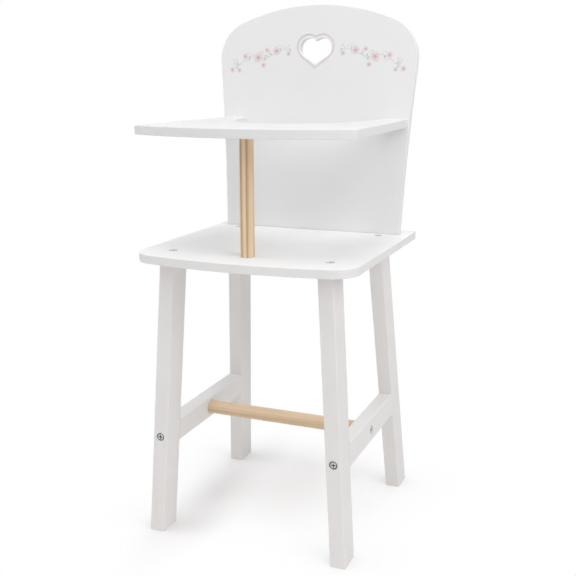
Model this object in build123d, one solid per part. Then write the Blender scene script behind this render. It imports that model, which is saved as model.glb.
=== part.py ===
from build123d import *

import math
import os

# Doll high chair of white painted board with pine dowels.
# Millimetres. +Z is up, the tray side faces -Y, and +X is on the right as seen from the front.
# The origin is on the floor, in the middle of the chair's width and depth.

# Boards of the seat, the tray and the backrest
board_t = 9.5
board_edge_chamfer = 0.5

# Seat
seat_top_z = 325.0
seat_half_w = 124.0
seat_front_y = -133.1
seat_depth = 261.0
seat_front_sag = 15.0
seat_front_corner_r = 29.0
seat_rear_corner_r = 3.0

# Side frames: two legs and a rail of one thickness, tilted outwards as one flat frame
frame_t = 17.0
leg_depth = 31.0
leg_edge_r = 1.4
leg_top_inset = 34.0
foot_spread = 19.5
front_leg_setback = 45.0
rear_leg_setback = 46.5
front_foot_reach = 8.0
rear_foot_reach = 37.0
rail_mid_z = 114.5
rail_h = 26.0
rail_edge_r = 1.4

# Footrest bar
bar_d = 16.0
bar_ahead = 5.5
bar_socket_depth = 4.0
bar_end_chamfer = 0.6

# Backrest
lean_deg = 4.3
back_setback = 35.0
back_h = 266.0
back_foot_inset = 12.5
back_waist_inset = 6.6
back_waist_share = 0.44
back_shoulder_overhang = 3.0
back_top_r = 250.0
back_shoulder_r = 46.0

# Heart opening, and the line routed around it
heart_drop = 48.5
heart_half_w = 20.0
heart_lobe_top = 10.7
heart_cleft = 7.4
heart_tip = 20.2
heart_line_half_w = 22.9
heart_line_lobe_top = 14.4
heart_line_cleft = 11.3
heart_line_tip = 24.4
heart_line_w = 1.5
heart_line_depth = 0.9

# Tray
tray_top_z = 459.0
tray_overhang = 1.5
tray_front_sag = 27.0
tray_front_inset = 2.0
tray_side_inset = 2.0
tray_corner_r = 4.5
tray_border = 108.0
tray_arm_w = 29.5

# Post under the tray
post_d = 15.0
post_setback = 41.5
post_tray_socket = 4.5
post_seat_socket = 2.5

# Cross-recessed pan-head screws, their heads sunk in counterbores
head_d = 7.6
head_h = 2.4
head_rim_chamfer = 0.7
shank_d = 4.0
recess_w = 1.3
recess_span = 4.8
recess_depth = 1.6
head_sink = 0.8
counterbore_d = 9.6
seat_screw_l = 45.0
rail_screw_l = 55.0
bar_screw_l = 40.0
post_screw_l = 35.0
back_screw_l = 32.0
back_screw_inset = 63.5
tray_screw_l = 35.0

# Wooden pins
leg_pin_d = 6.0
leg_pin_l = 24.0
leg_pin_offset = 9.5
rail_pin_d = 5.0
rail_pin_l = 24.0
rail_pin_drop = 8.0
back_pin_d = 5.0
back_pin_l = 18.0
back_pin_inset = 27.5
seat_pin_bite = 6.0

# One clearance for screws, pins and sockets, and one overrun for cuts
fit_gap = 0.1
overrun = 5.0

# Places that follow from the sizes above
seat_rear_y = seat_front_y + seat_depth
under_seat_z = seat_top_z - board_t
leg_top_x = seat_half_w - leg_top_inset
foot_x = leg_top_x + foot_spread
front_top_y = seat_front_y + front_leg_setback
rear_top_y = seat_rear_y - rear_leg_setback
front_foot_y = front_top_y - front_foot_reach
rear_foot_y = rear_top_y + rear_foot_reach
back_y = seat_rear_y - back_setback
back_foot_half_w = seat_half_w - back_foot_inset
back_waist_half_w = seat_half_w - back_waist_inset
back_shoulder_half_w = seat_half_w + back_shoulder_overhang
back_screw_x = back_foot_half_w - back_screw_inset
back_pin_x = back_foot_half_w - back_pin_inset
heart_mid_v = back_h - heart_drop
lean = math.radians(lean_deg)
post_y = seat_front_y + post_setback
tray_under_z = tray_top_z - board_t
tray_front_y = seat_front_y - tray_overhang
tray_front_half_w = seat_half_w - tray_front_inset
tray_rear_half_w = back_waist_half_w - tray_side_inset
tray_cut_half_w = tray_rear_half_w - tray_arm_w
splay = math.atan2(foot_spread, under_seat_z)
reach = seat_top_z + back_h

# Plane of the right side frame: its X runs along the chair's depth, its Y up the tilted frame
frame_plane = Plane(
    origin=(foot_x, 0, 0),
    x_dir=(0, 1, 0),
    z_dir=(math.cos(splay), 0, math.sin(splay)),
)

# Plane of the backrest's front face: its Y runs up the leaning board
back_plane = Plane(
    origin=(0, back_y, seat_top_z),
    x_dir=(1, 0, 0),
    z_dir=(0, -math.cos(lean), math.sin(lean)),
)


def mirrored(shape):
    """The same piece on the chair's other side."""
    return mirror(shape, about=Plane.YZ)


def frame_x(z):
    """Middle of the right side frame's thickness at a height."""
    return foot_x - foot_spread * z / under_seat_z


def leg_y(foot_y, top_y, z):
    """Middle of a leg's depth at a height."""
    return foot_y + (top_y - foot_y) * z / under_seat_z


def leg_angle(foot_y, top_y):
    """Lean of a leg within the side frame, towards +Y."""
    return math.atan2(top_y - foot_y, under_seat_z / math.cos(splay))


def leg_half_depth(foot_y, top_y):
    """Half of a leg's depth, measured level."""
    return leg_depth / 2 / math.cos(leg_angle(foot_y, top_y))


# Screws and pins

def screw(length):
    """Pan-head screw with a cross recess, pointing down from its head's top at the origin."""
    outline = Polyline(
        (0, 0),
        (head_d / 2 - head_rim_chamfer, 0),
        (head_d / 2, -head_rim_chamfer),
        (head_d / 2, -head_h),
        (shank_d / 2, -head_h),
        (shank_d / 2, -length),
        (0, -length),
        close=True,
    )
    body = revolve(Plane.XZ * make_face(outline), Axis.Z)
    slot = Box(recess_span, recess_w, recess_depth, align=(Align.CENTER, Align.CENTER, Align.MAX))
    return body - slot - Rot(0, 0, 90) * slot


def screw_bore(length):
    """Hole for a screw, with the counterbore that shows as a ring around its head."""
    hole = Cylinder(shank_d / 2 + fit_gap, length + fit_gap, align=(Align.CENTER, Align.CENTER, Align.MAX))
    well = Cylinder(counterbore_d / 2, head_h + overrun, align=(Align.CENTER, Align.CENTER, Align.MIN))
    return hole + Pos(0, 0, -head_h) * well


def pin(diameter, length):
    """Wooden pin with its middle at the origin."""
    return Cylinder(diameter / 2, length)


def pin_bore(diameter, length):
    """Hole for a pin."""
    return Cylinder(diameter / 2 + fit_gap, length + 2 * fit_gap)


def socket(diameter, depth):
    """Round hole that takes a dowel's end, from its bottom up."""
    return Cylinder(diameter / 2 + fit_gap, depth + overrun, align=(Align.CENTER, Align.CENTER, Align.MIN))


def sunk(x, y, z, toward):
    """Place of a screw's head, sunk below the surface at a point that faces a direction."""
    return Plane(origin=(x, y, z), z_dir=toward).location * Pos(0, 0, -head_sink)


def copies(shape, places):
    """The piece at each place on the right side and, mirrored, on the left side."""
    right = [place * shape for place in places]
    return right + [mirrored(piece) for piece in right]


# Places of the fasteners on the right side
legs = {
    "front": (front_foot_y, front_top_y, -1),
    "rear": (rear_foot_y, rear_top_y, 1),
}


def seat_screw_places():
    return [sunk(leg_top_x, top_y, seat_top_z, (0, 0, 1)) for foot_y, top_y, side in legs.values()]


def leg_pin_places():
    middle_z = under_seat_z + seat_pin_bite - leg_pin_l / 2
    return [Pos(leg_top_x, top_y + side * leg_pin_offset, middle_z) for foot_y, top_y, side in legs.values()]


def rail_screw_places():
    places = []
    for foot_y, top_y, side in legs.values():
        face_y = leg_y(foot_y, top_y, rail_mid_z) + side * leg_half_depth(foot_y, top_y)
        places.append(sunk(frame_x(rail_mid_z), face_y, rail_mid_z, (0, side, 0)))
    return places


def rail_pin_places():
    z = rail_mid_z - rail_pin_drop
    places = []
    for foot_y, top_y, side in legs.values():
        joint_y = leg_y(foot_y, top_y, z) - side * leg_half_depth(foot_y, top_y)
        places.append(Pos(frame_x(z), joint_y, z) * Rot(90, 0, 0))
    return places


def bar_y():
    front = leg_y(front_foot_y, front_top_y, rail_mid_z)
    rear = leg_y(rear_foot_y, rear_top_y, rail_mid_z)
    return (front + rear) / 2 - bar_ahead


def rail_inner_x():
    return frame_x(rail_mid_z) - frame_t / 2 / math.cos(splay)


def rail_outer_x():
    return frame_x(rail_mid_z) + frame_t / 2 / math.cos(splay)


def bar_half_l():
    return rail_inner_x() + bar_socket_depth


def bar_screw_places():
    return [sunk(rail_outer_x(), bar_y(), rail_mid_z, (1, 0, 0))]


def post_screw_place():
    return sunk(0, post_y, under_seat_z, (0, 0, -1))


def back_mid_y(z):
    """Middle of the backrest's thickness at a height."""
    return back_y + (z - seat_top_z) * math.tan(lean) + board_t / 2 / math.cos(lean)


def back_screw_place(x):
    down = (0, -math.sin(lean), -math.cos(lean))
    return sunk(x, back_mid_y(under_seat_z), under_seat_z, down)


def back_pin_place(x):
    middle_v = back_pin_l / 2 - seat_pin_bite
    return back_plane.location * Pos(x, middle_v, -board_t / 2) * Rot(90, 0, 0)


def tray_screw_places():
    z = tray_top_z - board_t / 2
    rear_y = back_mid_y(z) + board_t / 2 / math.cos(lean)
    return [sunk(tray_rear_half_w - tray_arm_w / 2, rear_y, z, (0, 1, 0))]


# Side frames

def leg_bar(foot_y, top_y, edge_r):
    """Straight bar along a leg, longer than the leg at both ends."""
    slant = under_seat_z / math.cos(splay) / math.cos(leg_angle(foot_y, top_y))
    bar = Box(leg_depth, slant + 2 * leg_depth, frame_t)
    if edge_r > 0:
        bar = fillet(bar.edges().filter_by(Axis.Y), edge_r)
    turn = Rot(0, 0, -math.degrees(leg_angle(foot_y, top_y)))
    return frame_plane.location * Pos(foot_y, 0, 0) * turn * Pos(0, slant / 2, 0) * bar


def right_leg(name):
    """One leg, cut level at the floor and under the seat, with the holes for its screws and pins."""
    foot_y, top_y, side = legs[name]
    level = Box(reach, reach, under_seat_z, align=(Align.CENTER, Align.CENTER, Align.MIN))
    leg = leg_bar(foot_y, top_y, leg_edge_r) & Pos(foot_x, foot_y, 0) * level
    for place in seat_screw_places():
        leg -= place * screw_bore(seat_screw_l)
    for place in leg_pin_places():
        leg -= place * pin_bore(leg_pin_d, leg_pin_l)
    for place in rail_screw_places():
        leg -= place * screw_bore(rail_screw_l)
    for place in rail_pin_places():
        leg -= place * pin_bore(rail_pin_d, rail_pin_l)
    return leg.solid()


def right_rail():
    """Rail between the legs, its faces flush with theirs, with a socket for the footrest bar."""
    front = leg_y(front_foot_y, front_top_y, rail_mid_z)
    rear = leg_y(rear_foot_y, rear_top_y, rail_mid_z)
    bar = Box(rear - front, rail_h, frame_t)
    bar = fillet(bar.edges().filter_by(Axis.X), rail_edge_r)
    rail = frame_plane.location * Pos((front + rear) / 2, rail_mid_z / math.cos(splay), 0) * bar
    for foot_y, top_y, side in legs.values():
        rail -= leg_bar(foot_y, top_y, 0)
    rail -= Pos(bar_half_l(), bar_y(), rail_mid_z) * Rot(0, -90, 0) * socket(bar_d, bar_socket_depth)
    for place in rail_screw_places():
        rail -= place * screw_bore(rail_screw_l)
    for place in rail_pin_places():
        rail -= place * pin_bore(rail_pin_d, rail_pin_l)
    for place in bar_screw_places():
        rail -= place * screw_bore(bar_screw_l)
    return rail.solid()


def footrest_bar():
    """Pine dowel whose ends sit in the rails."""
    bar = Rot(0, 90, 0) * Cylinder(bar_d / 2, 2 * bar_half_l())
    bar = chamfer(bar.edges().filter_by(GeomType.CIRCLE), bar_end_chamfer)
    bar = Pos(0, bar_y(), rail_mid_z) * bar
    for bore in copies(screw_bore(bar_screw_l), bar_screw_places()):
        bar -= bore
    return bar.solid()


# Boards

def bowed_outline(front_half_w, rear_half_w, front_y, rear_y, sag, corner_r):
    """Outline with a front edge that bows forward between two rounded corners."""
    corner_y = front_y + sag
    bow = ThreePointArc((-front_half_w, corner_y), (0, front_y), (front_half_w, corner_y))
    sides = Polyline(
        (front_half_w, corner_y),
        (rear_half_w, rear_y),
        (-rear_half_w, rear_y),
        (-front_half_w, corner_y),
    )
    outline = make_face(bow + sides)
    front = outline.vertices().sort_by(Axis.Y)[:2]
    return fillet(front, corner_r)


def board(outline):
    """Board below the outline's plane, with the edges of both faces eased."""
    blank = extrude(outline, board_t, dir=(0, 0, -1))
    rims = blank.faces().filter_by(Axis.Z).edges()
    return chamfer(rims, board_edge_chamfer)


# Seat

def seat_outline():
    outline = bowed_outline(
        seat_half_w, seat_half_w, seat_front_y, seat_rear_y, seat_front_sag, seat_front_corner_r
    )
    rear = outline.vertices().sort_by(Axis.Y)[-2:]
    return fillet(rear, seat_rear_corner_r)


def seat():
    panel = Pos(0, 0, seat_top_z) * board(seat_outline())
    for bore in copies(screw_bore(seat_screw_l), seat_screw_places()):
        panel -= bore
    for bore in copies(pin_bore(leg_pin_d, leg_pin_l), leg_pin_places()):
        panel -= bore
    for x in back_screw_xs():
        panel -= back_screw_place(x) * screw_bore(back_screw_l)
    for x in back_pin_xs():
        panel -= back_pin_place(x) * pin_bore(back_pin_d, back_pin_l)
    panel -= post_screw_place() * screw_bore(post_screw_l)
    panel -= Pos(0, post_y, seat_top_z - post_seat_socket) * socket(post_d, post_seat_socket)
    return panel.solid()


def back_screw_xs():
    return [-back_screw_x, back_screw_x]


def back_pin_xs():
    return [-back_pin_x, back_pin_x]


# Backrest

def heart(half_w, lobe_top, cleft, tip):
    """Heart about its own middle: two round lobes that meet in the cleft, and straight sides to the tip."""
    dip = lobe_top - cleft
    lobe_r = half_w + dip - math.sqrt(2 * half_w * dip)
    lobe_x = half_w - lobe_r
    lobe_v = lobe_top - lobe_r
    distance = math.hypot(lobe_x, lobe_v + tip)
    side_l = math.sqrt(distance**2 - lobe_r**2)
    side_angle = math.atan2(lobe_v + tip, lobe_x) - math.asin(lobe_r / distance)
    touch = (side_l * math.cos(side_angle), side_l * math.sin(side_angle) - tip)
    crown = (lobe_x + lobe_r * math.cos(math.pi / 4), lobe_v + lobe_r * math.sin(math.pi / 4))
    right = Line((0, -tip), touch) + ThreePointArc(touch, crown, (0, cleft))
    return make_face(right + mirror(right, about=Plane.YZ))


def back_outline():
    """Board that widens to its shoulders and ends in a shallow arch; it starts below the seat's top."""
    rise = back_top_r - math.sqrt(back_top_r**2 - back_shoulder_half_w**2)
    corner_v = back_h - rise
    foot = (back_foot_half_w, -board_t)
    corner = (back_shoulder_half_w, corner_v)
    side = ThreePointArc(foot, (back_waist_half_w, back_waist_share * back_h), corner)
    arch = ThreePointArc(corner, (0, back_h), (-back_shoulder_half_w, corner_v))
    base = Line((-back_foot_half_w, -board_t), foot)
    outline = make_face(side + mirror(side, about=Plane.YZ) + arch + base)
    shoulders = outline.vertices().sort_by(Axis.Y)[-2:]
    return fillet(shoulders, back_shoulder_r)


def backrest():
    panel = board(back_outline())
    middle = Pos(0, heart_mid_v, 0)
    opening = heart(heart_half_w, heart_lobe_top, heart_cleft, heart_tip)
    panel -= middle * Pos(0, 0, overrun) * extrude(opening, board_t + 2 * overrun, dir=(0, 0, -1))
    line = heart(heart_line_half_w, heart_line_lobe_top, heart_line_cleft, heart_line_tip)
    ring = offset(line, heart_line_w / 2) - offset(line, -heart_line_w / 2)
    panel -= middle * Pos(0, 0, overrun) * extrude(ring, overrun + heart_line_depth, dir=(0, 0, -1))
    panel = back_plane.location * panel
    panel -= Pos(0, back_y, seat_top_z) * Box(reach, reach, reach, align=(Align.CENTER, Align.CENTER, Align.MAX))
    for x in back_screw_xs():
        panel -= back_screw_place(x) * screw_bore(back_screw_l)
    for x in back_pin_xs():
        panel -= back_pin_place(x) * pin_bore(back_pin_d, back_pin_l)
    for bore in copies(screw_bore(tray_screw_l), tray_screw_places()):
        panel -= bore
    return panel.solid()


# Tray and its post

def tray_outline():
    """Bowed board almost as wide as the seat, with a U-shaped cut-out for the doll, open towards the backrest."""
    mouth_y = back_mid_y(tray_top_z)
    outline = bowed_outline(
        tray_front_half_w, tray_rear_half_w, tray_front_y, mouth_y + overrun, tray_front_sag, tray_corner_r
    )
    bowl = Ellipse(tray_cut_half_w, mouth_y - tray_front_y - tray_border)
    mouth = Rectangle(2 * tray_cut_half_w, 2 * overrun, align=(Align.CENTER, Align.MIN))
    return outline - Pos(0, mouth_y, 0) * (bowl + mouth)


def tray():
    panel = Pos(0, 0, tray_top_z) * board(tray_outline())
    panel -= back_plane.location * Box(reach, reach, reach, align=(Align.CENTER, Align.CENTER, Align.MAX))
    panel -= Pos(0, post_y, tray_under_z + post_tray_socket) * Rot(180, 0, 0) * socket(post_d, post_tray_socket)
    for bore in copies(screw_bore(tray_screw_l), tray_screw_places()):
        panel -= bore
    return panel.solid()


def tray_post():
    """Pine dowel from its socket in the seat to its socket in the tray."""
    foot_z = seat_top_z - post_seat_socket
    height = tray_under_z + post_tray_socket - foot_z
    post = Cylinder(post_d / 2, height, align=(Align.CENTER, Align.CENTER, Align.MIN))
    post = Pos(0, post_y, foot_z) * post
    post -= post_screw_place() * screw_bore(post_screw_l)
    return post.solid()


# Groups of like fasteners

def group(pieces):
    return Compound(children=[piece.solid() for piece in pieces])


nodes = {
    "seat": seat(),
    "backrest": backrest(),
    "tray": tray(),
    "tray_post": tray_post(),
    "front_right_leg": right_leg("front"),
    "rear_right_leg": right_leg("rear"),
    "right_rail": right_rail(),
    "footrest_bar": footrest_bar(),
    "seat_screws": group(copies(screw(seat_screw_l), seat_screw_places())),
    "rail_screws": group(copies(screw(rail_screw_l), rail_screw_places())),
    "bar_screws": group(copies(screw(bar_screw_l), bar_screw_places())),
    "post_screw": (post_screw_place() * screw(post_screw_l)).solid(),
    "backrest_screws": group([back_screw_place(x) * screw(back_screw_l) for x in back_screw_xs()]),
    "tray_screws": group(copies(screw(tray_screw_l), tray_screw_places())),
    "leg_pins": group(copies(pin(leg_pin_d, leg_pin_l), leg_pin_places())),
    "rail_pins": group(copies(pin(rail_pin_d, rail_pin_l), rail_pin_places())),
    "backrest_pins": group([back_pin_place(x) * pin(back_pin_d, back_pin_l) for x in back_pin_xs()]),
}
for twin in ("front_right_leg", "rear_right_leg", "right_rail"):
    nodes[twin.replace("right", "left")] = mirrored(nodes[twin]).solid()

os.makedirs("parts", exist_ok=True)
for name, shape in nodes.items():
    export_step(shape, f"parts/{name}.step")
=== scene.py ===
import math

import bmesh
import bpy
from mathutils import Matrix, Vector


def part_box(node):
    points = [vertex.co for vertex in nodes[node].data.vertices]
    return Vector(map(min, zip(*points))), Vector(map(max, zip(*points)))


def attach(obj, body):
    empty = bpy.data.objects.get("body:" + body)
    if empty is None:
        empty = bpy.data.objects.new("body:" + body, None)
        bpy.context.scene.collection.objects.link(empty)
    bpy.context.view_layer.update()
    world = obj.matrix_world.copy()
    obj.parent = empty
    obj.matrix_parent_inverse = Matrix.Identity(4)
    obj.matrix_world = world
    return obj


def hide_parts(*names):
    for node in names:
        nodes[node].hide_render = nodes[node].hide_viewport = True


# Doll high chair of white painted board with pine dowels. Metres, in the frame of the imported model:
# +Z is up, the tray side faces -Y, and +X is on the right as seen from the front.

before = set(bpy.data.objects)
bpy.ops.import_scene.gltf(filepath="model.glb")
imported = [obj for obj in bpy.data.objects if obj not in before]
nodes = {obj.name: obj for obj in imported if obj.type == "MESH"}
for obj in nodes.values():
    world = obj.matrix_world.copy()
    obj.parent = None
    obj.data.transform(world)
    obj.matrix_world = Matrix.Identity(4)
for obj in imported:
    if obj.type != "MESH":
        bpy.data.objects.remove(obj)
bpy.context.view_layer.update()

# Backrest: the foot of its front face, its lean, and the middle of the heart above its foot
back_foot = Vector((0.0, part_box("backrest")[0].y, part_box("backrest")[0].z))
back_lean = math.radians(4.3)
heart_up = 0.2175

# The line routed around the heart, and the points of each round lobe and each straight side
line_half_w = 0.0229
line_lobe_top = 0.0144
line_cleft = 0.0113
line_tip = 0.0244
line_w = 0.0015
line_depth = 0.0009
lobe_steps = 28
side_steps = 8

# Paint in the routed line: its hollow surface and its bed, each as a place across the line in shares of its
# width, and a depth in shares of its depth
line_hollow = ((0.5, 0.30), (0.46, 0.62), (0.30, 0.84), (0.0, 0.92))
line_bed = ((0.56, 0.32), (0.56, 1.2))

# Tint beside the routed line, in shares of the line's width: its inner rim, its reach and its sloping edge
wash_rim = 0.5
wash_reach = 0.42
wash_slope = 0.04

# Rounding that sanding leaves on the edges
board_round = 0.00030
bar_round = 0.00024
round_steps = 3
sharp_angle = math.radians(32)
merge_angle = math.radians(0.6)
merge_gap = 1e-6

# Painted shade in the seam where two painted pieces meet: its reach, its tones, how open a point is where the
# shade is darkest and where it ends, and the height over which it fades out
seam_shade_reach = 0.003
board_seam_shade = 0.66
seat_seam_shade = 0.88
leg_seam_shade = 0.93
seam_shade_closed = 0.35
seam_shade_open = 0.90
seam_shade_fade = (0.335, 0.345)

# Painted shade on the sides of a flat board: how far a face looks up where it counts as a side, and where it
# counts as flat
side_facing = 0.2
flat_facing = 0.9

# Screw heads: reach of the shade in their recesses, and how open a point is in its deep, middle and clear
# tones
recess_shade_reach = 0.0025
recess_shade_stops = (0.30, 0.62, 0.90)

# Grain of pine: where the rings turn from dark to light and back, and where streaks and clouds start and end
ring_stops = (0.32, 0.44, 0.52, 0.66, 0.74)
streak_stops = (0.35, 0.65)
streak_tint = (0.91, 0.90, 0.88)
streak_share = 0.8
cloud_tint = (0.95, 0.94, 0.93)

# Gloss: roughness in the low and high places of each finish, and the strength of its highlights
paint_rough = (0.54, 0.64)
paint_highlight = 0.22
lacquer_rough = (0.52, 0.40)
lacquer_highlight = 0.30
zinc_rough = (0.30, 0.46)
bare_rough = (0.75, 0.60)
print_rough = (0.42, 0.55)

# Sampling of the shade close to other pieces, and the values between which a noise texture mostly lies
open_samples = 8
noise_low = 0.3
noise_high = 0.7

# Fibre under the paint: its share in the paint's tone, and its direction as a stretch of the texture
fibre_share = 0.25
fibre_along_seat = (1, 0.12, 1)
fibre_along_rail = (1, 0.05, 1)
fibre_up = (1, 1, 0.05)

# Painted vine: thickness of the paint, the height of each layer in thicknesses, and how much higher a shape
# and a line are in the middle
paint_t = 0.00006
stem_layer = 1.0
leaf_layer = 1.3
edge_layer = 1.45
petal_layer = 1.75
vein_layer = 2.1
middle_layer = 2.4
shape_crown = 1.2
line_crown = 1.3

# Stem of the vine: its line as it leaves the heart, and how its paint thins towards both ends
stem_w = 0.00062
stem_start = 0.030
stem_end = 0.109
stem_wave = 0.0034
stem_wave_l = 0.044
stem_drop = 0.0052
stem_droop = 0.005425
stem_steps = 60
thin_share = 0.35
thin_clip = 0.02
thin_power = 0.6
miter_limit = 0.45

# Tendrils: width in stem widths, length of a step in radii and turn of a step in degrees, as they wind in
tendril_w = 0.85
tendril_steps = 26
tendril_step = 0.40
tendril_shrink = 0.28
tendril_turn = 10
tendril_tighten = 17

# Flowers, in shares of their size: root of a petal, length and width of its layers, and the middle
petal_count = 5
petal_root = 0.08
edge_size = (1.04, 0.98)
face_size = (0.72, 0.62)
vein_size = (0.44, 0.20)
petal_steps = 10
petal_peak = 1.35
petal_blunt = 0.75
middle_r = 0.20
middle_steps = 14

# Leaves and buds: width of a leaf in lengths, width of a bud's stalk in stem widths, and length and width of
# the bud in lengths of its stalk
leaf_w = 0.36
leaf_steps = 9
stalk_w = 0.8
stalk_steps = 4
bud_l = 0.75
bud_w = 0.5

# Floor: its reach, its colour as it lights the chair and as the camera sees it, the light it adds, and its
# painted shade, which is deepest near the chair and under the left rail
floor_reach = 6.0
floor_bounce = (0.87, 0.85, 0.838)
floor_colour = (0.862, 0.85, 0.853)
floor_lift = 0.112
contact_shade_reach = 0.12
contact_shade_share = 0.63
rail_shade_at = (-0.086, -0.022)
rail_shade_reach = (0.060, 0.278)
rail_shade_tone = 0.945

# Fade of the floor to the white background, with distance from a point under the seat
fade_at = (-0.018, 0.072, 0.0)
fade_start = -0.035
fade_end = 0.175

# Light from the surroundings, and the lamps: place, size and power
sky_light = 0.39
chair_middle = (0.0, 0.0, 0.28)
lamps = (
    ("overhead_lamp", (0.05, -0.4, 2.4), 1.1, 8.6),
    ("front_lamp", (0.25, -2.0, 1.7), 1.6, 8.8),
    ("right_lamp", (1.8, -0.7, 1.8), 1.6, 23.5),
    ("left_lamp", (-1.8, -0.7, 1.8), 1.6, 14.0),
    ("rear_lamp", (0.0, 2.2, 1.5), 1.6, 14.5),
)

# Camera, matched to the photograph: 576 by 576 points
photo_size = 576.0
focal_points = 909.0
view_middle = (280.5, 286.5)
camera_at = (0.38784, -0.93893, 0.50952)
camera_yaw = math.radians(22.492)
camera_pitch = math.radians(13.098)
camera_roll = math.radians(-0.196)
sensor_w = 36.0
nearest_view = 0.01


# Node helpers

def new_material(name):
    material = bpy.data.materials.new(name)
    material.use_nodes = True
    tree = material.node_tree
    tree.nodes.clear()
    output = tree.nodes.new("ShaderNodeOutputMaterial")
    shader = tree.nodes.new("ShaderNodeBsdfPrincipled")
    tree.links.new(shader.outputs["BSDF"], output.inputs["Surface"])
    return material, tree, shader


def node(tree, kind, inputs, **settings):
    """New node with its settings, whose inputs are linked to sockets or set to values."""
    made = tree.nodes.new(kind)
    for key, value in settings.items():
        setattr(made, key, value)
    for key, value in inputs.items():
        if isinstance(value, bpy.types.NodeSocket):
            tree.links.new(value, made.inputs[key])
        else:
            made.inputs[key].default_value = value
    return made


def place(tree, scale=(1, 1, 1), at=(0, 0, 0)):
    """The point's place in the chair, scaled and shifted, for the textures."""
    coordinates = node(tree, "ShaderNodeTexCoord", {})
    mapping = node(
        tree, "ShaderNodeMapping",
        {"Vector": coordinates.outputs["Object"], "Location": at, "Scale": scale},
    )
    return mapping.outputs["Vector"]


def noise(tree, vector, scale, detail=3.0, roughness=0.5):
    made = node(
        tree, "ShaderNodeTexNoise",
        {"Vector": vector, "Scale": scale, "Detail": detail, "Roughness": roughness, "Distortion": 0.0},
    )
    return made.outputs["Fac"]


def spread(tree, value, low, high, to_low=0.0, to_high=1.0, way="LINEAR"):
    """A value that lies between low and high, moved to lie between two others."""
    made = node(
        tree, "ShaderNodeMapRange",
        {"Value": value, "From Min": low, "From Max": high, "To Min": to_low, "To Max": to_high},
        interpolation_type=way,
    )
    return made.outputs["Result"]


def spread_noise(tree, value, to_low, to_high):
    return spread(tree, value, noise_low, noise_high, to_low, to_high)


def ramp(tree, value, stops):
    """Colour by value, from a list of stops that each hold a value and a colour."""
    made = node(tree, "ShaderNodeValToRGB", {"Fac": value})
    elements = made.color_ramp.elements
    while len(elements) < len(stops):
        elements.new(0.5)
    for element, (position, colour) in zip(elements, stops):
        element.position = position
        element.color = (*colour, 1.0)
    return made.outputs["Color"]


def mottle(tree, value, low, high):
    """Two colours that a noise texture blends."""
    return ramp(tree, value, [(noise_low, low), (noise_high, high)])


def grey(tone):
    return (tone, tone, tone)


def product(tree, one, two):
    return node(tree, "ShaderNodeMath", {0: one, 1: two}, operation="MULTIPLY").outputs[0]


def tinted(tree, share, colour, tint):
    """A colour multiplied by a tint, as far as the share says."""
    made = node(
        tree, "ShaderNodeMix", {0: share, "A": colour, "B": tint}, data_type="RGBA", blend_type="MULTIPLY"
    )
    return made.outputs[2]


def openness(tree, reach):
    """Near 0 where something stands close to the surface, and 1 where nothing does within the reach."""
    made = node(tree, "ShaderNodeAmbientOcclusion", {"Distance": reach}, samples=open_samples)
    return made.outputs["AO"]


def bump(tree, height, distance, strength, **under):
    """Fine relief, over another one where that is given as Normal."""
    inputs = {"Height": height, "Distance": distance, "Strength": strength, **under}
    return node(tree, "ShaderNodeBump", inputs).outputs["Normal"]


def finish(tree, shader, colour, gloss, relief):
    tree.links.new(colour, shader.inputs["Base Color"])
    tree.links.new(gloss, shader.inputs["Roughness"])
    tree.links.new(relief, shader.inputs["Normal"])


# Materials

def white_paint(name, stretch, low, high, seam_shade, side_shade=1.0):
    """Satin white paint: a fine sprayed skin over board whose fibre shows through a little, with painted
    shade in a seam.

    The sides of a flat board are darkened to a given tone, as painted shade on faces that look sideways."""
    material, tree, shader = new_material(name)
    still = place(tree)
    cloud = noise(tree, still, scale=9.0, detail=2.0)
    fibre = noise(tree, place(tree, stretch), scale=260.0, detail=4.0, roughness=0.55)
    skin = noise(tree, still, scale=1100.0, detail=2.0)
    mixed = {0: fibre_share, "A": cloud, "B": fibre}
    tone = node(tree, "ShaderNodeMix", mixed, data_type="FLOAT").outputs[0]
    colour = mottle(tree, tone, low, high)

    # Painted shade in a seam: darker where another piece stands close, fading out above the seat
    seam_shade_ramp = ramp(tree, openness(tree, seam_shade_reach), [(seam_shade_closed, grey(seam_shade)), (seam_shade_open, grey(1.0))])
    height = node(tree, "ShaderNodeSeparateXYZ", {0: still}).outputs["Z"]
    colour = tinted(tree, spread(tree, height, *seam_shade_fade, to_low=1.0, to_high=0.0), colour, seam_shade_ramp)

    # Painted shade: faces that look sideways are darkened to the side tone
    facing = node(tree, "ShaderNodeTexCoord", {}).outputs["Normal"]
    upward = node(tree, "ShaderNodeSeparateXYZ", {0: facing}).outputs["Z"]
    flat = node(tree, "ShaderNodeMath", {0: upward}, operation="ABSOLUTE").outputs[0]
    side = ramp(tree, flat, [(side_facing, grey(side_shade)), (flat_facing, grey(1.0))])
    colour = tinted(tree, 1.0, colour, side)

    gloss = spread_noise(tree, skin, *paint_rough)
    relief = bump(tree, skin, distance=0.000035, strength=0.55)
    relief = bump(tree, fibre, distance=0.00006, strength=0.30, Normal=relief)
    finish(tree, shader, colour, gloss, relief)
    shader.inputs["Specular IOR Level"].default_value = paint_highlight
    return material


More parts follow.
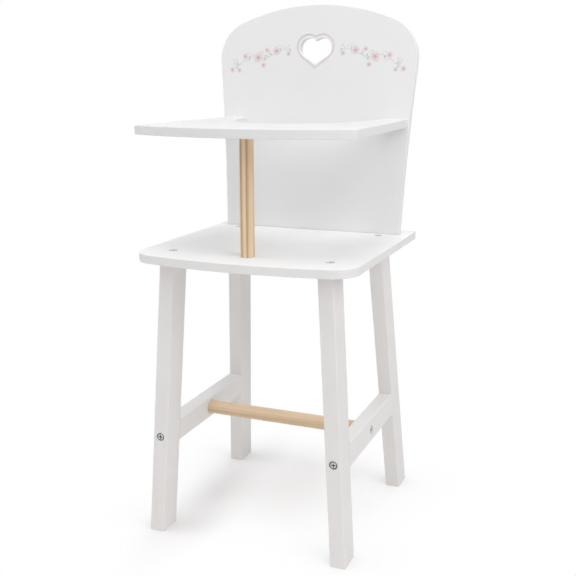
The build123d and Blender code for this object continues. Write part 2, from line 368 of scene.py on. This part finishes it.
def pine(name, axis, heart_at, light, dark):
    """Lacquered pine dowel with straight grain along its axis, which is "X" or "Z"."""
    material, tree, shader = new_material(name)

    def grain(stretch, scale, detail, roughness=0.5):
        way = (stretch, 1, 1) if axis == "X" else (1, 1, stretch)
        return noise(tree, place(tree, way, heart_at), scale, detail, roughness)

    rings = grain(stretch=0.006, scale=310.0, detail=2.0, roughness=0.55)
    fibre = grain(stretch=0.020, scale=1500.0, detail=3.0, roughness=0.6)
    cloud = grain(stretch=0.12, scale=70.0, detail=2.0)
    middle = tuple((one + two) / 2 for one, two in zip(light, dark))
    wood = ramp(tree, rings, list(zip(ring_stops, (dark, middle, light, light, middle))))
    streak = ramp(tree, fibre, list(zip(streak_stops, (streak_tint, grey(1.0)))))
    shade = ramp(tree, cloud, list(zip(streak_stops, (cloud_tint, grey(1.0)))))
    wood = tinted(tree, streak_share, wood, streak)
    wood = tinted(tree, 1.0, wood, shade)
    gloss = spread_noise(tree, fibre, *lacquer_rough)
    relief = bump(tree, fibre, distance=0.00005, strength=0.6)
    relief = bump(tree, rings, distance=0.00008, strength=0.3, Normal=relief)
    finish(tree, shader, wood, gloss, relief)
    shader.inputs["Specular IOR Level"].default_value = lacquer_highlight
    return material


def zinc(name, deep_shade, middle, metal):
    """Zinc-plated steel with fine turning marks, and with painted shade in two tones in its recesses."""
    material, tree, shader = new_material(name)
    fine = noise(tree, place(tree), scale=2400.0, detail=2.0)
    cloud = noise(tree, place(tree), scale=500.0, detail=2.0)
    colour = mottle(tree, cloud, (0.66, 0.66, 0.665), (0.80, 0.80, 0.805))
    # Painted shade in the recesses: darker the more the head is closed in by its bore
    tones = (grey(deep_shade), grey(middle), grey(1.0))
    recess_shade = ramp(tree, openness(tree, recess_shade_reach), list(zip(recess_shade_stops, tones)))
    colour = tinted(tree, 1.0, colour, recess_shade)
    gloss = spread_noise(tree, fine, *zinc_rough)
    relief = bump(tree, fine, distance=0.00002, strength=0.5)
    finish(tree, shader, colour, gloss, relief)
    shader.inputs["Metallic"].default_value = metal
    return material


def bare_wood(name):
    """Plain hardwood of the hidden pins."""
    material, tree, shader = new_material(name)
    fibre = noise(tree, place(tree, fibre_up), scale=900.0)
    colour = mottle(tree, fibre, (0.56, 0.38, 0.22), (0.70, 0.50, 0.31))
    gloss = spread_noise(tree, fibre, *bare_rough)
    relief = bump(tree, fibre, distance=0.00005, strength=0.6)
    finish(tree, shader, colour, gloss, relief)
    return material


def print_paint(name, light, dark):
    """Thin printed paint with a little mottling."""
    material, tree, shader = new_material(name)
    grain = noise(tree, place(tree), scale=900.0)
    colour = mottle(tree, grain, dark, light)
    gloss = spread_noise(tree, grain, *print_rough)
    relief = bump(tree, grain, distance=0.00002, strength=0.4)
    finish(tree, shader, colour, gloss, relief)
    return material


# The copies of the white paint differ as painted light and shade: the seat's is painted lighter than the
# rest, the tray's a little darker, and the legs' and rails' warmer than the backrest's
seat_paint_painted_light = white_paint(
    "seat_paint_painted_light", fibre_along_seat, (0.888, 0.888, 0.890), (0.908, 0.909, 0.912), seat_seam_shade, side_shade=0.90
)
tray_paint = white_paint(
    "tray_paint", fibre_along_seat, (0.795, 0.795, 0.797), (0.820, 0.821, 0.824), board_seam_shade, side_shade=0.98
)
back_paint = white_paint("back_paint", fibre_up, (0.826, 0.826, 0.830), (0.851, 0.852, 0.858), board_seam_shade)
leg_paint = white_paint("leg_paint", fibre_up, (0.803, 0.790, 0.783), (0.826, 0.814, 0.808), leg_seam_shade)
rail_paint = white_paint(
    "rail_paint", fibre_along_rail, (0.812, 0.800, 0.793), (0.835, 0.824, 0.818), leg_seam_shade
)
post_pine = pine("post_pine", "Z", (0.57, 0.11, 0), light=(0.86, 0.665, 0.45), dark=(0.52, 0.34, 0.20))
bar_pine = pine("bar_pine", "X", (0, 0.148, 0.036), light=(0.80, 0.62, 0.43), dark=(0.66, 0.48, 0.31))
zinc_plate = zinc("zinc_plate", deep_shade=0.06, middle=0.42, metal=1.0)
pale_zinc = zinc("pale_zinc", deep_shade=0.85, middle=0.97, metal=0.35)
pin_wood = bare_wood("pin_wood")
line_pink = print_paint("line_pink", (0.81, 0.755, 0.768), (0.76, 0.70, 0.712))
wash_pink = print_paint("wash_pink", (0.825, 0.79, 0.80), (0.80, 0.76, 0.77))
petal_pink = print_paint("petal_pink", (0.80, 0.70, 0.715), (0.75, 0.635, 0.655))
pale_pink = print_paint("pale_pink", (0.815, 0.755, 0.765), (0.78, 0.705, 0.72))
deep_pink = print_paint("deep_pink", (0.66, 0.49, 0.50), (0.58, 0.42, 0.43))
middle_gold = print_paint("middle_gold", (0.56, 0.42, 0.34), (0.48, 0.35, 0.28))
stem_grey = print_paint("stem_grey", (0.60, 0.63, 0.615), (0.53, 0.565, 0.55))
leaf_grey = print_paint("leaf_grey", (0.52, 0.56, 0.54), (0.45, 0.49, 0.47))

# Painted pieces, with the rounding of their edges, and pieces that keep their own mesh
painted = (
    (seat_paint_painted_light, board_round, ("seat",)),
    (tray_paint, board_round, ("tray",)),
    (back_paint, board_round, ("backrest",)),
    (leg_paint, bar_round, ("front_left_leg", "front_right_leg", "rear_left_leg", "rear_right_leg")),
    (rail_paint, bar_round, ("left_rail", "right_rail")),
)
unpainted = (
    (post_pine, ("tray_post",)),
    (bar_pine, ("footrest_bar",)),
    (zinc_plate, ("rail_screws", "bar_screws", "post_screw", "backrest_screws", "tray_screws")),
    (pale_zinc, ("seat_screws",)),
    (pin_wood, ("leg_pins", "rail_pins", "backrest_pins")),
)


# Pieces

def coated(name, material):
    nodes[name].data.materials.clear()
    nodes[name].data.materials.append(material)


def added(name, mesh, material):
    mesh.materials.append(material)
    piece = bpy.data.objects.new(name, mesh)
    bpy.context.scene.collection.objects.link(piece)
    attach(piece, "root")
    return piece


def softened(node_name, radius, material):
    """The node's own solid with its sharp edges rounded, as sanding and paint leave them."""
    solid = bmesh.new()
    solid.from_mesh(nodes[node_name].data)
    bmesh.ops.remove_doubles(solid, verts=solid.verts, dist=merge_gap)
    bmesh.ops.dissolve_limit(
        solid, angle_limit=merge_angle, verts=solid.verts, edges=solid.edges, use_dissolve_boundaries=False
    )
    blank = bpy.data.meshes.new(node_name + "_blank")
    solid.to_mesh(blank)
    solid.free()
    mesh = bpy.data.meshes.new(node_name + "_painted")
    mesh.from_pydata([v.co for v in blank.vertices], [], [p.vertices[:] for p in blank.polygons])
    mesh.shade_smooth()
    piece = added(node_name + "_painted", mesh, material)
    rounding = piece.modifiers.new("rounding", "BEVEL")
    rounding.width = radius
    rounding.segments = round_steps
    rounding.limit_method = "ANGLE"
    rounding.angle_limit = sharp_angle
    rounding.miter_outer = "MITER_ARC"
    rounding.use_clamp_overlap = True
    rounding.harden_normals = True
    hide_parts(node_name)


for material, names in unpainted:
    for name in names:
        coated(name, material)

for material, radius, names in painted:
    for name in names:
        coated(name, material)
        softened(name, radius, material)


# The backrest's front face: along its width, up its height, and out of it

def on_back(u, v, out=0.0):
    up = Vector((0, math.sin(back_lean), math.cos(back_lean)))
    proud = Vector((0, -math.cos(back_lean), math.sin(back_lean)))
    return back_foot + Vector((u, 0, 0)) + up * (heart_up + v) + proud * out


def heart_points(half_w, lobe_top, cleft, tip):
    """Closed heart about its own middle, from the tip up the right side, round and down the left."""
    dip = lobe_top - cleft
    lobe_r = half_w + dip - math.sqrt(2 * half_w * dip)
    lobe_u = half_w - lobe_r
    lobe_v = lobe_top - lobe_r
    distance = math.hypot(lobe_u, lobe_v + tip)
    side_l = math.sqrt(distance**2 - lobe_r**2)
    side_angle = math.atan2(lobe_v + tip, lobe_u) - math.asin(lobe_r / distance)
    right = []
    side_u = side_l * math.cos(side_angle)
    side_v = side_l * math.sin(side_angle)
    for k in range(side_steps):
        right.append((side_u * k / side_steps, side_v * k / side_steps - tip))
    start = side_angle - math.pi / 2
    end = math.atan2(cleft - lobe_v, -lobe_u)
    for k in range(lobe_steps + 1):
        angle = start + (end - start) * k / lobe_steps
        right.append((lobe_u + lobe_r * math.cos(angle), lobe_v + lobe_r * math.sin(angle)))
    return right + [(-u, v) for u, v in reversed(right[1:-1])]


def offsets(points, closed):
    """Normals along a line in the plane, longer at a corner so that an offset line keeps its distance."""
    count = len(points)
    normals = []
    for k, (u, v) in enumerate(points):
        before = points[k - 1] if closed or k > 0 else points[k]
        after = points[(k + 1) % count] if closed or k < count - 1 else points[k]
        one = Vector((u - before[0], v - before[1]))
        two = Vector((after[0] - u, after[1] - v))
        way = one.normalized() + two.normalized()
        way.normalize()
        side = Vector((way.y, -way.x))
        lean = side.dot(Vector((two.y, -two.x)).normalized()) if two.length else 1.0
        normals.append(side / max(lean, miter_limit))
    return normals


def heart_ring(profile, flip):
    """Closed ring along the routed line, from a profile in shares of its width and heights off the board."""
    points = heart_points(line_half_w, line_lobe_top, line_cleft, line_tip)
    vertices = []
    for (u, v), normal in zip(points, offsets(points, closed=True)):
        for across, out in profile:
            shift = normal * across * line_w
            vertices.append(on_back(u + shift.x, v + shift.y, out))
    faces = []
    row = len(profile)
    for k in range(len(points)):
        following = (k + 1) % len(points)
        for j in range(row):
            beside = (j + 1) % row
            quad = (k * row + j, k * row + beside, following * row + beside, following * row + j)
            faces.append(quad[::-1] if flip else quad)
    return vertices, faces


def groove_paint():
    """Paint that lies in the routed line around the heart, hollow in the middle."""
    left = [(-across, depth) for across, depth in line_hollow]
    right = list(reversed(line_hollow[:-1]))
    bed = list(line_bed) + [(-across, depth) for across, depth in reversed(line_bed)]
    profile = [(across, -depth * line_depth) for across, depth in left + right + bed]
    vertices, faces = heart_ring(profile, False)
    mesh = bpy.data.meshes.new("heart_line")
    mesh.from_pydata(vertices, [], faces)
    added("heart_line", mesh, line_pink)


def groove_wash():
    """Thin tint of the same paint that has spread on the board along both rims of the routed line."""
    profile = (
        (wash_rim, -paint_t),
        (wash_rim + wash_slope, paint_t),
        (wash_rim + wash_reach, paint_t),
        (wash_rim + wash_slope + wash_reach, -paint_t),
    )
    vertices = []
    faces = []
    for rim in (-1, 1):
        ring, quads = heart_ring([(rim * across, out) for across, out in profile], rim < 0)
        faces += [tuple(len(vertices) + k for k in quad) for quad in quads]
        vertices += ring
    mesh = bpy.data.meshes.new("heart_wash")
    mesh.from_pydata(vertices, [], faces)
    added("heart_wash", mesh, wash_pink)


groove_paint()
groove_wash()


# Painted vine

class Layer:
    """Painted shapes of one colour, a little proud of the board, each with its mirror image."""

    def __init__(self, thicknesses):
        self.height = paint_t * thicknesses
        self.vertices = []
        self.faces = []

    def shape(self, points):
        """Filled shape around its middle point."""
        count = len(points)
        middle_u = sum(u for u, v in points) / count
        middle_v = sum(v for u, v in points) / count
        for side in (1, -1):
            self.fan([(side * u, v) for u, v in points], (side * middle_u, middle_v), side > 0)

    def fan(self, points, middle, forward):
        """Closed body: triangles around the middle, a wall and an under face."""
        base = len(self.vertices)
        count = len(points)
        self.vertices += [on_back(u, v, self.height) for u, v in points]
        self.vertices += [on_back(u, v, -paint_t) for u, v in points]
        self.vertices.append(on_back(*middle, self.height * shape_crown))
        for k in range(count):
            after = (k + 1) % count
            tri = (base + k, base + after, base + 2 * count)
            wall = (base + k, base + count + k, base + count + after, base + after)
            self.faces.append(tri if forward else tri[::-1])
            self.faces.append(wall if forward else wall[::-1])
        under = tuple(range(base + count, base + 2 * count))
        self.faces.append(under[::-1] if forward else under)

    def band(self, points, width):
        """Line of paint that thins towards both ends."""
        section = (
            (-1, -paint_t),
            (-1, self.height),
            (0, self.height * line_crown),
            (1, self.height),
            (1, -paint_t),
        )
        row = len(section)
        count = len(points)
        normals = offsets(points, closed=False)
        for side in (1, -1):
            base = len(self.vertices)
            for k, ((u, v), normal) in enumerate(zip(points, normals)):
                share = min(max(k / (count - 1), thin_clip), 1 - thin_clip)
                swell = math.sin(math.pi * share) ** thin_power
                half = width / 2 * (thin_share + (1 - thin_share) * swell)
                for across, out in section:
                    edge_u = u + normal.x * across * half
                    edge_v = v + normal.y * across * half
                    self.vertices.append(on_back(side * edge_u, edge_v, out))
            for k in range(count - 1):
                here = base + k * row
                ahead = here + row
                for j in range(row):
                    beside = (j + 1) % row
                    quad = (here + j, here + beside, ahead + beside, ahead + j)
                    self.faces.append(quad if side > 0 else quad[::-1])
            start = tuple(range(base, base + row))
            end = tuple(range(base + (count - 1) * row, base + count * row))
            self.faces.append(start[::-1] if side > 0 else start)
            self.faces.append(end if side > 0 else end[::-1])

    def piece(self, name, material):
        mesh = bpy.data.meshes.new(name)
        mesh.from_pydata(self.vertices, [], self.faces)
        added(name, mesh, material)


def stem_v(u):
    """Height of the stem, which waves and droops as it leaves the heart."""
    away = u - stem_start
    wave = stem_wave * math.sin(2 * math.pi * away / stem_wave_l)
    return wave - stem_drop - stem_droop * (away / stem_wave_l) ** 2


def spiral(u, v, heading, turn, radius):
    """Tendril that leaves a point with a heading in degrees and winds in, to the left for a positive turn."""
    points = [(u, v)]
    angle = math.radians(heading)
    for k in range(tendril_steps):
        share = k / tendril_steps
        step = radius * (tendril_step - tendril_shrink * share)
        angle += turn * math.radians(tendril_turn + tendril_tighten * share)
        u += step * math.cos(angle)
        v += step * math.sin(angle)
        points.append((u, v))
    return points


def blade(u, v, angle, rim):
    """Outline of a leaf or petal that leaves a point at an angle, from the points of its one rim."""
    outline = [(a, -b) for a, b in rim] + rim[-2:0:-1]
    cosine = math.cos(angle)
    sine = math.sin(angle)
    return [(u + a * cosine - b * sine, v + a * sine + b * cosine) for a, b in outline]


def petal(u, v, angle, length, width):
    """Rounded petal that points away from a flower's middle."""
    rim = [(0.0, 0.0)]
    for k in range(1, petal_steps):
        share = k / petal_steps
        rim.append((length * share, width / 2 * math.sin(math.pi * share**petal_peak) ** petal_blunt))
    rim.append((length, 0.0))
    return blade(u, v, angle, rim)


def leaf(u, v, angle, length):
    """Pointed leaf."""
    rim = []
    for k in range(leaf_steps + 1):
        half = length * leaf_w / 2 * math.sin(math.pi * k / leaf_steps)
        rim.append((length * k / leaf_steps, half))
    return blade(u, v, angle, rim)


def disc(u, v, radius):
    points = []
    for k in range(middle_steps):
        angle = 2 * math.pi * k / middle_steps
        points.append((u + radius * math.cos(angle), v + radius * math.sin(angle)))
    return points


stems = Layer(stem_layer)
leaves = Layer(leaf_layer)
petal_edges = Layer(edge_layer)
petals = Layer(petal_layer)
petal_veins = Layer(vein_layer)
middles = Layer(middle_layer)
petal_layers = ((petal_edges, edge_size), (petals, face_size), (petal_veins, vein_size))


def flower(u, v, size, turn):
    for k in range(petal_count):
        angle = math.radians(turn + 360 / petal_count * k)
        root_u = u + size * petal_root * math.cos(angle)
        root_v = v + size * petal_root * math.sin(angle)
        for layer, (length, width) in petal_layers:
            layer.shape(petal(root_u, root_v, angle, size * length, size * width))
    middles.shape(disc(u, v, size * middle_r))


def bud(u, v, heading, length):
    """Bud at the end of a straight stalk."""
    angle = math.radians(heading)
    tip_u = u + length * math.cos(angle)
    tip_v = v + length * math.sin(angle)
    stalk = []
    for k in range(stalk_steps + 1):
        stalk.append((u + (tip_u - u) * k / stalk_steps, v + (tip_v - v) * k / stalk_steps))
    stems.band(stalk, stem_w * stalk_w)
    petals.shape(petal(tip_u, tip_v, angle, length * bud_l, length * bud_w))


# Tendrils: place along the stem, heading, way they wind, radius
tendrils = (
    (0.0385, 66, -1, 0.0042),
    (0.0600, -58, 1, 0.0050),
    (0.0800, 52, -1, 0.0044),
    (0.0965, -60, 1, 0.0036),
)

# Flowers: place along the stem, height above it, size, turn
flowers = (
    (0.0500, 0.0012, 0.0051, 12),
    (0.0740, -0.0010, 0.0060, 50),
    (0.0915, 0.0036, 0.0036, 30),
    (0.1085, 0.0, 0.0034, 8),
    (0.0345, -0.0042, 0.0032, 65),
    (0.0625, 0.0085, 0.0031, 40),
    (0.0670, -0.0088, 0.0035, 20),
    (0.0990, -0.0066, 0.0030, 55),
)

# Leaves: place along the stem, heading, length
leaf_places = (
    (0.0440, -48, 0.0044),
    (0.0462, 118, 0.0038),
    (0.0560, 40, 0.0042),
    (0.0640, 78, 0.0040),
    (0.0665, -120, 0.0042),
    (0.0850, -80, 0.0042),
    (0.0872, -28, 0.0036),
    (0.1000, 52, 0.0038),
    (0.1020, -110, 0.0036),
    (0.0320, 72, 0.0036),
)

# Buds: place along the stem, heading, length of the stalk
buds = (
    (0.0610, 108, 0.0046),
    (0.0785, -100, 0.0048),
    (0.1040, 95, 0.0036),
    (0.0375, 128, 0.0040),
)

stem_us = [stem_start + (stem_end - stem_start) * k / stem_steps for k in range(stem_steps + 1)]
stems.band([(u, stem_v(u)) for u in stem_us], stem_w)
for at, heading, turn, radius in tendrils:
    stems.band(spiral(at, stem_v(at), heading, turn, radius), stem_w * tendril_w)
for at, above, size, turn in flowers:
    flower(at, stem_v(at) + above, size, turn)
for at, heading, length in leaf_places:
    leaves.shape(leaf(at, stem_v(at), math.radians(heading), length))
for at, heading, length in buds:
    bud(at, stem_v(at), heading, length)

stems.piece("vine_stems", stem_grey)
leaves.piece("vine_leaves", leaf_grey)
petal_edges.piece("vine_petal_edges", pale_pink)
petals.piece("vine_petals", petal_pink)
petal_veins.piece("vine_petal_veins", deep_pink)
middles.piece("vine_middles", middle_gold)


# Stage: floor, background, lamps and camera

def seen_directly(tree):
    """One for rays from the camera and for those that metal and glass send on."""
    path = node(tree, "ShaderNodeLightPath", {})
    rays = {0: path.outputs["Is Camera Ray"], 1: path.outputs["Is Glossy Ray"]}
    first = node(tree, "ShaderNodeMath", rays, operation="MAXIMUM").outputs[0]
    rays = {0: first, 1: path.outputs["Is Transmission Ray"]}
    return node(tree, "ShaderNodeMath", rays, operation="MAXIMUM").outputs[0]


def glow(tree, strength):
    return node(tree, "ShaderNodeEmission", {"Color": (1, 1, 1, 1), "Strength": strength}).outputs[0]


def blend(tree, share, one, two):
    return node(tree, "ShaderNodeMixShader", {"Fac": share, 1: one, 2: two}).outputs[0]


def rail_shade(tree):
    """Mask of the painted shade on the floor: one under the middle of the left rail, and less further away
    from it.
    """
    scale = (1 / rail_shade_reach[0], 1 / rail_shade_reach[1], 0.0)
    shift = (-rail_shade_at[0] * scale[0], -rail_shade_at[1] * scale[1], 0.0)
    from_rail = place(tree, scale, shift)
    away = node(tree, "ShaderNodeVectorMath", {0: from_rail}, operation="LENGTH").outputs["Value"]
    return spread(tree, away, 0.0, 1.0, to_low=1.0, to_high=0.0, way="SMOOTHSTEP")


def floor_paper():
    """Pale paper that keeps the chair's shadow, with painted shade added, and fades to white away from it, as
    the camera sees it.
    """
    material = bpy.data.materials.new("floor_paper")
    material.use_nodes = True
    tree = material.node_tree
    tree.nodes.clear()
    paper = node(tree, "ShaderNodeBsdfDiffuse", {"Color": (*floor_bounce, 1.0)}).outputs[0]

    # Painted shade on the floor: darker where the chair stands close and under the left rail, which also
    # keeps it from fading to white
    contact = openness(tree, contact_shade_reach)
    rail_shade_mask = rail_shade(tree)
    tone = product(
        tree,
        spread(tree, contact, 0.0, 1.0, to_low=contact_shade_share, to_high=1.0),
        spread(tree, rail_shade_mask, 0.0, 1.0, to_low=1.0, to_high=rail_shade_tone),
    )
    shaded = ramp(tree, tone, [(0.0, grey(0)), (1.0, floor_colour)])
    lit = node(tree, "ShaderNodeBsdfDiffuse", {"Color": shaded}).outputs[0]
    lift = glow(tree, spread(tree, tone, 0.0, 1.0, to_low=0.0, to_high=floor_lift))
    near = node(tree, "ShaderNodeAddShader", {0: lit, 1: lift}).outputs[0]

    points = {0: place(tree), 1: fade_at}
    away = node(tree, "ShaderNodeVectorMath", points, operation="DISTANCE").outputs["Value"]
    fade = product(
        tree,
        spread(tree, away, fade_start, fade_end, way="SMOOTHSTEP"),
        spread(tree, rail_shade_mask, 0.0, 1.0, to_low=1.0, to_high=0.0),
    )
    both = blend(tree, product(tree, fade, contact), near, glow(tree, 1.0))
    seen = blend(tree, seen_directly(tree), paper, both)
    node(tree, "ShaderNodeOutputMaterial", {"Surface": seen})
    return material


def floor():
    mesh = bpy.data.meshes.new("floor")
    corners = [(-1, -1), (1, -1), (1, 1), (-1, 1)]
    mesh.from_pydata([(x * floor_reach, y * floor_reach, 0) for x, y in corners], [], [(0, 1, 2, 3)])
    mesh.materials.append(floor_paper())
    piece = bpy.data.objects.new("floor", mesh)
    bpy.context.scene.collection.objects.link(piece)


def background():
    """White as the camera sees it, and a plain soft light for the chair."""
    world = bpy.data.worlds.new("studio")
    bpy.context.scene.world = world
    world.use_nodes = True
    tree = world.node_tree
    tree.nodes.clear()
    white = node(tree, "ShaderNodeBackground", {"Color": (1, 1, 1, 1), "Strength": 1.0}).outputs[0]
    light = node(tree, "ShaderNodeBackground", {"Color": (1, 1, 1, 1), "Strength": sky_light}).outputs[0]
    seen = blend(tree, seen_directly(tree), light, white)
    node(tree, "ShaderNodeOutputWorld", {"Surface": seen})


def soft_lamp(name, at, size, power):
    """Square lamp that points at the chair's middle."""
    light = bpy.data.lights.new(name, "AREA")
    light.shape = "SQUARE"
    light.size = size
    light.energy = power
    lamp = bpy.data.objects.new(name, light)
    lamp.location = at
    lamp.rotation_euler = (Vector(chair_middle) - Vector(at)).to_track_quat("-Z", "Y").to_euler()
    bpy.context.scene.collection.objects.link(lamp)


def view_camera():
    lens = bpy.data.cameras.new("camera")
    lens.sensor_width = sensor_w
    lens.lens = focal_points / photo_size * sensor_w
    lens.shift_x = 0.5 - view_middle[0] / photo_size
    lens.shift_y = view_middle[1] / photo_size - 0.5
    lens.clip_start = nearest_view
    camera = bpy.data.objects.new("camera", lens)
    camera.matrix_world = (
        Matrix.Translation(camera_at)
        @ Matrix.Rotation(camera_yaw, 4, "Z")
        @ Matrix.Rotation(math.pi / 2 - camera_pitch, 4, "X")
        @ Matrix.Rotation(camera_roll, 4, "Z")
    )
    bpy.context.scene.collection.objects.link(camera)
    return camera


floor()
background()
for name, at, size, power in lamps:
    soft_lamp(name, at, size, power)
bpy.context.scene.camera = view_camera()
bpy.context.scene.view_settings.view_transform = "Standard"
